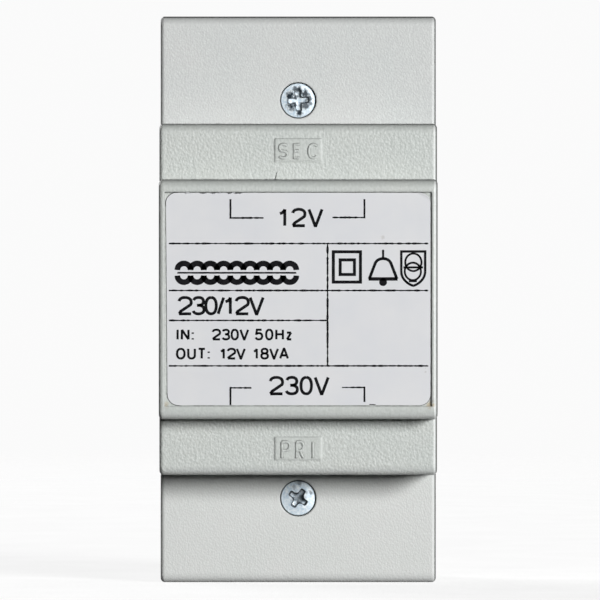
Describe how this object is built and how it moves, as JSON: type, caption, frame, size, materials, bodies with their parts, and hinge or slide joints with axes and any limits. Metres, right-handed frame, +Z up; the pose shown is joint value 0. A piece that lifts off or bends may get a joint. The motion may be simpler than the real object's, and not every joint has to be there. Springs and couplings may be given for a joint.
{
  "type": "din rail transformer",
  "caption": "Bell transformer in a stepped modular housing that clips onto a 35 mm rail, with a labelled nose, screwed terminal covers, and screw terminals at its two ends.",
  "frame": {"origin": "middle of the case's width and of the rail's height, on the face that the rail seats against", "axes": "+X along the rail, to the right seen from the front; +Y to the back; +Z up, from the primary end to the secondary end"},
  "size_m": [0.0522, 0.063, 0.1076],
  "materials": {
    "case_plastic": "fine spark-eroded texture",
    "cover_plastic": "fine spark-eroded texture",
    "base_plastic": "fine spark-eroded texture",
    "clip_plastic": "satin moulded",
    "label_film": "satin printed film",
    "zinc_steel": "bright zinc plate",
    "spring_steel": "rolled strip",
    "core_steel": "varnished stampings",
    "bobbin_plastic": "moulded nylon",
    "winding_tape": "enamelled wire under tape",
    "cutout_plastic": "moulded",
    "terminal_brass": "stamped",
    "lead_insulation": "extruded"
  },
  "bodies": {
    "housing": {"rear_base": "base_plastic", "front_case": "case_plastic", "secondary_terminal_cover": "cover_plastic", "primary_terminal_cover": "cover_plastic", "cover_screws": "zinc_steel", "rating_label": "label_film", "clip_spring": "spring_steel", "e_lamination_stack": "core_steel", "i_lamination_stack": "core_steel", "bobbin": "bobbin_plastic", "primary_winding": "winding_tape", "secondary_winding": "winding_tape", "thermal_cutout": "cutout_plastic", "terminal_screws": "zinc_steel", "secondary_terminal_left": "terminal_brass", "secondary_terminal_right": "terminal_brass", "primary_terminal_left": "terminal_brass", "primary_terminal_right": "terminal_brass", "secondary_clamp_left": "zinc_steel", "secondary_clamp_right": "zinc_steel", "primary_clamp_left": "zinc_steel", "primary_clamp_right": "zinc_steel", "secondary_lead_left": "lead_insulation", "secondary_lead_right": "lead_insulation", "primary_lead_left": "lead_insulation", "primary_lead_right": "lead_insulation"},
    "rail_clip": {"rail_clip": "clip_plastic"}
  },
  "joints": [
    {"name": "rail_clip_slide", "type": "slide", "parent": "housing", "child": "rail_clip", "axis": [0, 0, -1], "range_m": [0, 0.0045], "stiffness_N_per_m": 1500, "springref_m": -0.002, "deforming": ["clip_spring"]}
  ]
}
